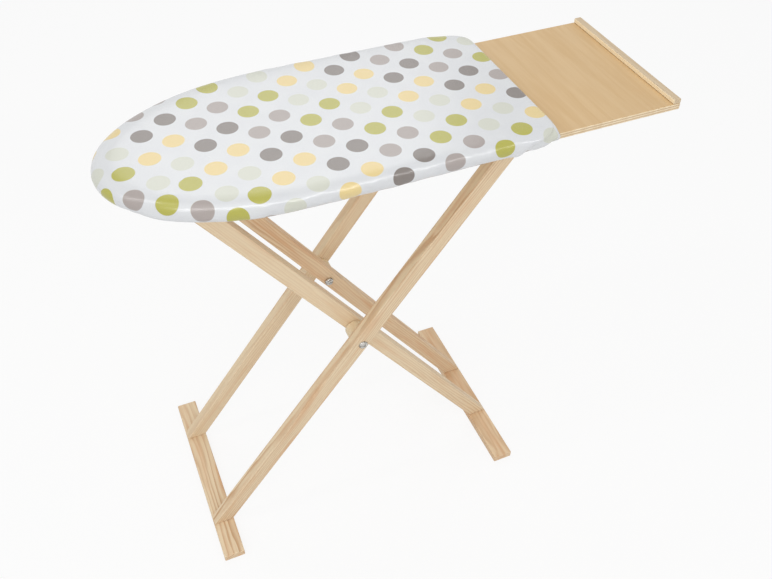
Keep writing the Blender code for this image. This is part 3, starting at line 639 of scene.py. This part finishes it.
def nose_columns():
    """Columns round the nose, from the far side to the near side."""
    fine = np.linspace(math.pi / 2, 3 * math.pi / 2, FINE_STEPS)
    edge = np.stack([NOSE_LENGTH * np.cos(fine), HALF_WIDTH * np.sin(fine)], axis=1)
    run = np.concatenate([[0.0], np.cumsum(np.linalg.norm(np.diff(edge, axis=0), axis=1))])
    count = 2 * round(run[-1] / COLUMN_STEP / 2)
    angles = np.interp(np.linspace(0.0, run[-1], count + 1), run, fine)
    return [Column("nose", angle, 1.0, 0.0) for angle in angles.tolist()]


def side_columns(kind):
    """Columns along a side, from the rear edge to the start of the nose."""
    turn = np.linspace(0.0, math.pi / 2, REAR_COLUMNS + 1)
    x = COVER_REAR_X - REAR_ROUND * (1.0 - np.cos(turn))
    height = REAR_EDGE_HEIGHT + (FULL_HEIGHT - REAR_EDGE_HEIGHT) * np.sin(turn)
    steps = np.hypot(np.diff(x), np.diff(height))
    behind = np.append(np.cumsum(steps[::-1])[::-1], 0.0)
    edge = [
        Column(kind, place, lifted / FULL_HEIGHT, x[-1] + cloth - place)
        for place, lifted, cloth in zip(x.tolist(), height.tolist(), behind.tolist())
    ]
    count = round((x[-1] - NOSE_CENTRE_X) / COLUMN_STEP)
    straight = np.linspace(x[-1], NOSE_CENTRE_X, count + 1)[1:-1]
    return edge + [Column(kind, place, 1.0, 0.0) for place in straight.tolist()]


COLUMNS = side_columns("far") + nose_columns() + side_columns("near")[::-1]
print("columns:", len(COLUMNS))

# %% [markdown]
# The tray is narrower than the padded part. Low down, the cloth draws in right
# behind the plywood's shoulder, but the top of the pad keeps its full width
# almost to the rear edge. So each height has its own corner, and the corners
# line up in a slanting fold. Behind it the hem climbs to the tray's top edge.

# %% Shape the rear corners
SHOULDER_X = 0.11225
CORNER_START = SHOULDER_X + 0.012
CORNER_SETBACK = 0.004
CORNER_LENGTH = 0.020
CORNER_DEPTH = 0.0105
HUG_HEIGHTS = (-0.0077, -0.0034, 0.0018, 0.0056, 0.0094, 0.0120, 0.0139)
HUG_SHARES = (1.0, 0.9, 0.6, 0.3, 0.12, 0.07, 0.05)
FLAP_START_X = 0.155
FLAP_EASE = 1.6
FLAP_TOP_RUN = float(np.interp(FLAP_HEIGHT, path[OUTER_PART:, 1], SECTION_RUN[OUTER_PART:]))


def limited(value):
    """A value kept between 0 and 1."""
    return min(max(value, 0.0), 1.0)


def corner_pull(x, hug):
    """How far a side is drawn in: early where it hugs the tray, late at the top."""
    last_x = COVER_REAR_X - CORNER_SETBACK
    corner_x = last_x - hug * (last_x - CORNER_START)
    share = limited((x - corner_x) / CORNER_LENGTH + 1.0)
    round_corner = 1.0 - math.sqrt(1.0 - share * share)
    eased = share * share * (3.0 - 2.0 * share)
    return CORNER_DEPTH * (round_corner + hug * (eased - round_corner))


def edge_point(column, reach, height):
    """A point over or past the plywood's edge, for one column."""
    if column.kind == "nose":
        across, along = math.sin(column.where), math.cos(column.where)
        normal = Vector((along / NOSE_LENGTH, across / HALF_WIDTH)).normalized()
        edge = Vector((NOSE_CENTRE_X + NOSE_LENGTH * along, HALF_WIDTH * across))
        return edge + reach * normal
    side = 1.0 if column.kind == "far" else -1.0
    pull = corner_pull(column.where, float(np.interp(height, HUG_HEIGHTS, HUG_SHARES)))
    return Vector((column.where, side * (HALF_WIDTH + reach - pull)))


def section_runs(column):
    """Cloth lengths from the hem at a column's rings, starting up the flap behind the corner."""
    share = 0.0
    if column.kind != "nose":
        share = limited((column.where - FLAP_START_X) / (COVER_REAR_X - FLAP_START_X))
    start = FLAP_TOP_RUN * share ** FLAP_EASE
    return np.linspace(start, SECTION_RUN[-1], RINGS + 1)


print("corner starts in mm:", round(1000 * CORNER_START), "flap's top run:", round(1000 * FLAP_TOP_RUN, 1))

# %% [markdown]
# The cloth isn't equally full all round. The pad's far rim is squarer than the
# near one, the nose's underside sags a little where the elastic gathers it, and
# behind each shoulder the cloth hangs in a small pouch below the tray.

# %% Build the cloth's grid
NEAR_TIGHTER = 0.0031
FAR_FULLER = 0.0086
FAR_RAISE = 0.0033
NOSE_SAG = 0.0016
NOSE_SAG_START = math.radians(206)
NOSE_SAG_END = math.radians(266)
NOSE_SAG_RISE = 0.25
NOSE_SAG_FALL = 0.35
POUCH_SAG = 0.0034
POUCH_X = (0.098, 0.118, 0.143, 0.164)
REAR_FADE = 0.06
ROLL_START = -0.022
ROLL_SPAN = 0.028
HANG_HEIGHT = 0.002
HANG_SPAN = 0.009
SPINE_SHARE = 0.55


def smooth(value, start, end):
    """A smooth step from 0 at the start to 1 at the end."""
    share = limited((value - start) / (end - start))
    return share * share * (3.0 - 2.0 * share)


def side_share(column):
    """1 on the far side, -1 on the near side, and between them round the nose."""
    if column.kind == "nose":
        return math.sin(column.where)
    return 1.0 if column.kind == "far" else -1.0


def rear_share(column):
    """1 along the board, fading to 0 at the rear edge."""
    return 1.0 if column.kind == "nose" else limited((COVER_REAR_X - column.where) / REAR_FADE)


def far_share(column):
    """1 along the far side, fading to 0 at the nose's tip."""
    return max(side_share(column), 0.0) * rear_share(column)


def fullness(column, reach):
    """Extra reach of the rolled edge: more on the far side, less on the near side."""
    near = max(-side_share(column), 0.0) ** 2 * rear_share(column)
    ease = FAR_FULLER * far_share(column) - NEAR_TIGHTER * near
    outer = limited((reach - ROLL_START) / ROLL_SPAN)
    return ease * outer * outer


def raised(column, height):
    """Extra height of the far rim, none at the tray and none at the flat top."""
    if height <= 0:
        return 0.0
    return FAR_RAISE * far_share(column) * math.sin(math.pi * height / FULL_HEIGHT)


def sag(column, height):
    """How much the gathered cloth hangs out and down below the edge."""
    if column.kind == "nose":
        rise = smooth(column.where, NOSE_SAG_START, NOSE_SAG_START + NOSE_SAG_RISE)
        hang = NOSE_SAG * rise * (1.0 - smooth(column.where, NOSE_SAG_END - NOSE_SAG_FALL, NOSE_SAG_END))
    else:
        rise = smooth(column.where, POUCH_X[0], POUCH_X[1])
        hang = POUCH_SAG * rise * (1.0 - smooth(column.where, POUCH_X[2], POUCH_X[3]))
    return hang * limited((HANG_HEIGHT - height) / HANG_SPAN)


def spine_point(column, x, height):
    """The point of the board's middle line that a column's top rings run to."""
    if column.kind == "nose":
        x = NOSE_CENTRE_X + SPINE_SHARE * (x - NOSE_CENTRE_X)
    return Vector((x, 0.0, height))


def cover_points():
    """Places and flat places of the grid, one row for each column."""
    places, flats = [], []
    for column in COLUMNS:
        rim = edge_point(column, ROLL_REACH, FULL_HEIGHT)
        outward = (edge_point(column, 0.0, FULL_HEIGHT) - rim).normalized()
        behind = Vector((column.flat_shift, 0.0))
        row, flat_row = [], []
        for run in section_runs(column):
            reach, height = (float(np.interp(run, SECTION_RUN, path[:, axis])) for axis in (0, 1))
            hanging = sag(column, height)
            spot = edge_point(column, reach + fullness(column, reach) + hanging, height)
            height += raised(column, height)
            level = height * column.lift if height > 0 else height - hanging
            row.append((*spot, TRAY_TOP + level))
            flat_row.append(rim + behind + outward * (SECTION_RUN[-1] - run))
        spine = spine_point(column, rim.x, 0.0).to_2d()
        for ring in range(1, TOP_RINGS + 1):
            spot = rim.lerp(spine, ring / TOP_RINGS)
            row.append((*spot, TRAY_TOP + FULL_HEIGHT * column.lift))
            flat_row.append(spot + behind)
        places.append(row)
        flats.append([tuple(spot) for spot in flat_row])
    return np.array(places), np.array(flats)


places, flats = cover_points()
print("grid:", places.shape)

# %% [markdown]
# Cloth that is drawn in has to go somewhere, so it stands up in small folds. At the
# rear corners they run up and back, from the shoulder to the corner of the pad.
# Along the hem, the elastic leaves short puckers. Both lift the grid along its
# own normals, which come from the steps between neighbouring points.

# %% Press the folds into the grid
FOLD_HEIGHT = 0.0017
FOLD_STEP = 0.0135
FOLD_LEAN = 1.0
FOLD_MIDDLE_X = 0.146
FOLD_SPREAD = 0.021
FOLD_TOP_RUN = 0.048
FOLD_FADE = 0.022
FOLD_PHASE = 0.150
FOLD_LEAN_START = 0.03
HEM_RUN = 0.012
REAR_EDGE = 0.006
PUCKER_HEIGHT = 0.0008
PUCKER_RUN = 0.036
PUCKER_HEM = 0.008
PUCKER_EASE = 0.7
PUCKERS_PER_METRE = 55.0
SIDE_NOISE = 3.0
NOSE_NOISE = 7.0
LEAST_NORMAL = 1e-12


def grid_normals(points):
    """Unit normals of a grid, from the steps between its points."""
    normals = np.cross(np.gradient(points, axis=1), np.gradient(points, axis=0))
    return normals / np.maximum(np.linalg.norm(normals, axis=2, keepdims=True), LEAST_NORMAL)


def fold(column, run):
    """Height of the slanting folds and of the hem's puckers at one point."""
    height = 0.0
    low = limited((FOLD_TOP_RUN - run) / FOLD_FADE) * min(run / HEM_RUN, 1.0)
    if column.kind != "nose":
        near_corner = math.exp(-((column.where - FOLD_MIDDLE_X) / FOLD_SPREAD) ** 2)
        at_edge = limited((COVER_REAR_X - column.where) / REAR_EDGE)
        leaning = column.where - FOLD_LEAN * (run - FOLD_LEAN_START) - FOLD_PHASE
        height += FOLD_HEIGHT * near_corner * at_edge * low * math.cos(math.tau * leaning / FOLD_STEP)
        place = Vector((column.where * PUCKERS_PER_METRE, 0.0, side_share(column) * SIDE_NOISE))
    else:
        rim = edge_point(column, 0.0, 0.0)
        place = Vector((rim.x * PUCKERS_PER_METRE, rim.y * PUCKERS_PER_METRE, NOSE_NOISE))
    gather = limited((PUCKER_RUN - run) / PUCKER_RUN)
    hem = min(run / PUCKER_HEM, 1.0)
    return height + PUCKER_HEIGHT * gather ** PUCKER_EASE * hem * noise.noise(place)


normals = grid_normals(places)
top_ring = RINGS + TOP_RINGS // 2
if normals[:, top_ring, 2].mean() < 0:
    normals = -normals
for row, (column, spots) in enumerate(zip(COLUMNS, places)):
    for ring, run in enumerate(section_runs(column)):
        spots[ring] += normals[row, ring] * fold(column, run)
print("tallest fold in mm:", round(1000 * FOLD_HEIGHT, 1))

# %% Make the cover's mesh
MERGE_DISTANCE = 0.00005
TOP_FACE_HEIGHT = TRAY_TOP + 0.012


def grid_mesh(name, places, flats):
    """A quad grid with its flat places as a UV map, closed along the middle."""
    columns, rings = places.shape[:2]
    faces = [
        (c * rings + r, (c + 1) * rings + r, (c + 1) * rings + r + 1, c * rings + r + 1)
        for c in range(columns - 1) for r in range(rings - 1)
    ]
    mesh = bpy.data.meshes.new(name)
    mesh.from_pydata([tuple(p) for p in places.reshape(-1, 3)], [], faces)
    spots = flats.reshape(-1, 2) / CLOTH_SPAN + 0.5
    layer = mesh.uv_layers.new(name="flat_place")
    corners = np.array([spots[loop.vertex_index] for loop in mesh.loops])
    layer.data.foreach_set("uv", corners.astype(np.float32).ravel())
    thing = bpy.data.objects.new(name, mesh)
    bpy.context.scene.collection.objects.link(thing)
    shape = bmesh.new()
    shape.from_mesh(mesh)
    bmesh.ops.remove_doubles(shape, verts=shape.verts, dist=MERGE_DISTANCE)
    bmesh.ops.recalc_face_normals(shape, faces=shape.faces)
    shape.to_mesh(mesh)
    shape.free()
    return thing


cover = grid_mesh("padded_cover", places, flats)
print("cover points:", len(cover.data.vertices))
normals_up = sum(f.normal.z for f in cover.data.polygons if f.center.z > TOP_FACE_HEIGHT)
print("top faces look up:", normals_up > 0)

# %% Turn the cover's faces outwards
def apply_modifiers(thing):
    """Apply a piece's modifiers, in order."""
    bpy.ops.object.select_all(action="DESELECT")
    thing.select_set(True)
    bpy.context.view_layer.objects.active = thing
    for step in list(thing.modifiers):
        bpy.ops.object.modifier_apply(modifier=step.name)


if normals_up < 0:
    cover.data.flip_normals()

# %% [markdown]
# A last step lets the cloth settle. Blender's cloth simulation pins the hem, the
# rear edge and the flat top, gives the cloth a little slack and lets the foam's
# pressure push from inside. The rolled edge then takes on the long soft waves of
# real satin. The result is kept near the pattern: no point moves further than a
# few millimetres, and hardly any inwards, where the plywood is.

# %% Let the cover settle
SIMULATED_FRAMES = 20
CLOTH_SLACK = 0.012
FOAM_PRESSURE = 1.0
LEAST_HOLD = 0.12
HELD_HEM = -0.0085
HELD_REAR = 0.012
HELD_TOP = 0.0004
MOST_MOVE = 0.006
MOST_INWARD = 0.0002


def hold_cloth():
    """A group that pins the hem, the rear edge and the flat top, and holds the rest lightly."""
    held = cover.vertex_groups.new(name="held")
    for vertex in cover.data.vertices:
        x, y, z = vertex.co
        at_edge = z < TRAY_TOP + HELD_HEM or x > COVER_REAR_X - HELD_REAR
        at_top = z > TRAY_TOP + FULL_HEIGHT - HELD_TOP
        held.add([vertex.index], 1.0 if at_edge or at_top else LEAST_HOLD, "REPLACE")
    return held


def settle_cloth():
    """Run the simulation, apply it, and keep each point's movement within its limits."""
    starts = [vertex.co.copy() for vertex in cover.data.vertices]
    normals = [vertex.normal.copy() for vertex in cover.data.vertices]
    held = hold_cloth()
    cloth = cover.modifiers.new("cloth", "CLOTH")
    settings = cloth.settings
    settings.vertex_group_mass = held.name
    settings.quality = 7
    settings.mass = 0.2
    settings.tension_stiffness = settings.compression_stiffness = 25.0
    settings.shear_stiffness = 12.0
    settings.bending_stiffness = 0.05
    settings.shrink_min = settings.shrink_max = -CLOTH_SLACK
    settings.use_pressure = True
    settings.uniform_pressure_force = FOAM_PRESSURE
    settings.effector_weights.gravity = 0.0
    cloth.collision_settings.use_collision = False
    cloth.point_cache.frame_start = 1
    cloth.point_cache.frame_end = SIMULATED_FRAMES
    for number in range(1, SIMULATED_FRAMES + 1):
        bpy.context.scene.frame_set(number)
    apply_modifiers(cover)
    bpy.context.scene.frame_set(1)
    most = 0.0
    for vertex, start, normal in zip(cover.data.vertices, starts, normals):
        moved = vertex.co - start
        outward = moved.dot(normal)
        if outward < -MOST_INWARD:
            moved -= normal * (outward + MOST_INWARD)
        if moved.length > MOST_MOVE:
            moved *= MOST_MOVE / moved.length
        vertex.co = start + moved
        most = max(most, moved.length)
    return most


print("cloth settled by up to, in mm:", round(1000 * settle_cloth(), 2))

# %% Finish the cover
smoother = cover.modifiers.new("smooth", "SUBSURF")
smoother.levels = smoother.render_levels = 1
body_of_cloth = cover.modifiers.new("thickness", "SOLIDIFY")
body_of_cloth.thickness = CLOTH_THICKNESS
body_of_cloth.offset = -1.0
apply_modifiers(cover)
cover.data.shade_smooth()
cover.data.materials.append(COVER_CLOTH)
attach(cover, "board")
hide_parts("cover")

# %% [markdown]
# ## Foam pad
#
# Under the cover lies a foam pad, crowned at its edge and flat where it rests on
# the plywood. It follows the same outline as the cover, a little further in. It
# is a closed cushion: rings climb from the middle of its flat underside, round
# the rim and over the top, and meet again in the middle.

# %% Make the foam pad
PAD_FLOOR = 0.0004
PAD_SECTION = [(-0.0020, 0.0), (0.0000, 0.0022), (0.0006, 0.0046), (-0.0010, 0.0076),
               (-0.0052, 0.0101), (-0.0120, 0.0114), (-0.0205, 0.0118)]
PAD_REAR_IN = 0.011
PAD_LEAST_LIFT = 0.3
PAD_RINGS = 6


def pad_points():
    """Rings of the pad for each column, from under its middle to over it."""
    length_share = (COVER_REAR_X - PAD_REAR_IN - NOSE_CENTRE_X) / (COVER_REAR_X - NOSE_CENTRE_X)
    rows = []
    for column in COLUMNS[::2]:
        if column.kind != "nose":
            where = NOSE_CENTRE_X + (column.where - NOSE_CENTRE_X) * length_share
            column = column._replace(where=where, lift=max(column.lift, PAD_LEAST_LIFT))
        extra = -NEAR_TIGHTER * max(-side_share(column), 0.0)
        row = []
        for reach, height in PAD_SECTION:
            spot = edge_point(column, reach + extra, height)
            row.append((*spot, PAD_FLOOR + height * column.lift))
        first, last = Vector(row[0]), Vector(row[-1])
        below, above = (spine_point(column, first.x, end.z) for end in (first, last))
        under = [first.lerp(below, 1 - n / PAD_RINGS) for n in range(PAD_RINGS)]
        over = [last.lerp(above, n / PAD_RINGS) for n in range(1, PAD_RINGS + 1)]
        rows.append([tuple(p) for p in under] + row + [tuple(p) for p in over])
    return np.array(rows)


pad_places = pad_points() + np.array([0.0, 0.0, TRAY_TOP])
pad = grid_mesh("padding", pad_places, pad_places[:, :, :2])
shape = bmesh.new()
shape.from_mesh(pad.data)
bmesh.ops.holes_fill(shape, edges=[edge for edge in shape.edges if edge.is_boundary])
bmesh.ops.recalc_face_normals(shape, faces=shape.faces)
shape.to_mesh(pad.data)
shape.free()


def make_foam():
    """Pale open foam with fine pores, painted darker in them as painted shade."""
    paint, tree, shader = new_material("pad_foam", 0.95)
    place = add(tree, "ShaderNodeTexCoord").outputs["Object"]
    pores = add(tree, "ShaderNodeTexVoronoi", {"Vector": place, "Scale": 700.0})
    clouds = add(tree, "ShaderNodeTexNoise", {"Vector": place, "Scale": 25.0, "Detail": 2.0})
    cloudy = fade(tree, clouds.outputs["Fac"], 0.3, 0.7)
    tone = blend_colours(tree, cloudy, colour(238, 234, 220), colour(228, 222, 202))
    # A darker colour where the pores are deep: painted shade.
    pore_shade = fade(tree, pores.outputs["Distance"], 0.15, 0.5, 0.0, 0.3)
    tree.links.new(blend_colours(tree, pore_shade, tone, colour(196, 188, 164)), shader.inputs["Base Color"])
    bump(tree, shader, pores.outputs["Distance"], 0.0003)
    return paint


pad.data.shade_smooth()
pad.data.materials.append(make_foam())
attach(pad, "board")
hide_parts("foam_pad")
print("pad height in mm:", round(1000 * pad.dimensions.z, 1))

# %% [markdown]
# ## Elastic
#
# The elastic in the hem is a round cord: rubber threads under a braided white
# sleeve. It keeps its solid and gets the braid from two crossed waves, with
# painted shade in the grooves between the threads.

# %% Dress the elastic
BRAID_SCALE = 190.0


def make_elastic():
    """A white braided sleeve, painted grey in its grooves as painted shade."""
    paint, tree, shader = new_material("braided_elastic", 0.75)
    place = add(tree, "ShaderNodeTexCoord").outputs["Object"]
    turned = add(tree, "ShaderNodeMapping", {"Vector": place, "Rotation": (0.0, 0.0, math.pi / 2)})
    leaning, crossing = (
        add(tree, "ShaderNodeTexWave", {"Vector": way, "Scale": BRAID_SCALE}, bands_direction="DIAGONAL")
        for way in (place, turned.outputs[0])
    )
    braid = calc(tree, "MULTIPLY", leaning.outputs["Fac"], crossing.outputs["Fac"])
    # Grey where the braid dips, white on its threads: painted shade in the grooves.
    tree.links.new(
        blend_colours(tree, fade(tree, braid, 0.1, 0.7), colour(206, 206, 204), colour(244, 244, 242)),
        shader.inputs["Base Color"],
    )
    bump(tree, shader, braid, 0.0002)
    return paint


dress("cover_elastic", make_elastic())

# %% [markdown]
# ## Studio
#
# A pale floor and a soft world light show the board as a catalogue does. The
# floor is white to the camera and keeps a faint shadow, so the board stands on
# something without a grey cast on its colours.

# %% Light the board
FLOOR_SIZE = 12.0
FLOOR_WHITE = 0.86
WORLD_LIGHT = 0.56

scene = bpy.context.scene
scene.view_settings.view_transform = "Standard"


def plain_floor():
    """A wide pale floor that the camera sees as nearly white."""
    bpy.ops.object.select_all(action="DESELECT")
    bpy.ops.mesh.primitive_plane_add(size=FLOOR_SIZE, location=(0.0, 0.0, 0.0))
    floor = bpy.context.object
    floor.name = "studio_floor"
    paint, tree, shader = new_material("studio_floor_paint", 0.9)
    shader.inputs["Base Color"].default_value = (0.86, 0.86, 0.86, 1.0)
    shader.inputs["Specular IOR Level"].default_value = 0.0
    rays = add(tree, "ShaderNodeLightPath").outputs
    seen = calc(tree, "MAXIMUM", rays["Is Camera Ray"], rays["Is Glossy Ray"])
    white = add(tree, "ShaderNodeEmission", {"Color": (1.0, 1.0, 1.0, 1.0), "Strength": 1.0})
    mix = add(tree, "ShaderNodeMixShader", {0: calc(tree, "MULTIPLY", seen, FLOOR_WHITE)})
    tree.links.new(shader.outputs[0], mix.inputs[1])
    tree.links.new(white.outputs[0], mix.inputs[2])
    tree.links.new(mix.outputs[0], tree.nodes["Material Output"].inputs["Surface"])
    floor.data.materials.append(paint)


def soft_world():
    """Even light from all round, white behind the board."""
    world = bpy.data.worlds.new("studio_world")
    world.use_nodes = True
    tree = world.node_tree
    sky = tree.nodes["Background"]
    sky.inputs["Color"].default_value = (1.0, 1.0, 1.0, 1.0)
    rays = add(tree, "ShaderNodeLightPath").outputs
    seen = calc(tree, "MAXIMUM", rays["Is Camera Ray"], rays["Is Glossy Ray"])
    strength = add(tree, "ShaderNodeMapRange", {"Value": seen, "To Min": WORLD_LIGHT, "To Max": 1.0})
    tree.links.new(strength.outputs[0], sky.inputs["Strength"])
    scene.world = world


def soft_lamp(name, place, target, size, power):
    """A softbox of a given width and height that looks at a point."""
    lamp = bpy.data.lights.new(name, "AREA")
    lamp.shape = "RECTANGLE"
    lamp.size, lamp.size_y = size
    lamp.energy = power
    thing = bpy.data.objects.new(name, lamp)
    aim = Vector(target) - Vector(place)
    thing.matrix_world = Matrix.Translation(place) @ aim.to_track_quat("-Z", "Y").to_matrix().to_4x4()
    scene.collection.objects.link(thing)


plain_floor()
soft_world()
soft_lamp("key_lamp", (-0.6, -1.2, 2.4), (0.0, 0.0, 0.4), (2.4, 1.6), 6.5)
soft_lamp("back_lamp", (0.3, 1.6, 2.2), (0.0, 0.0, 0.5), (1.4, 1.4), 8.0)
soft_lamp("strip_lamp", (-0.4, -1.9, 1.9), (-0.1, 0.0, 0.6), (3.6, 0.1), 22.0)
soft_lamp("nose_lamp", (-1.55, 0.05, 2.1), (-0.3, -0.05, 0.6), (0.12, 1.3), 4.0)
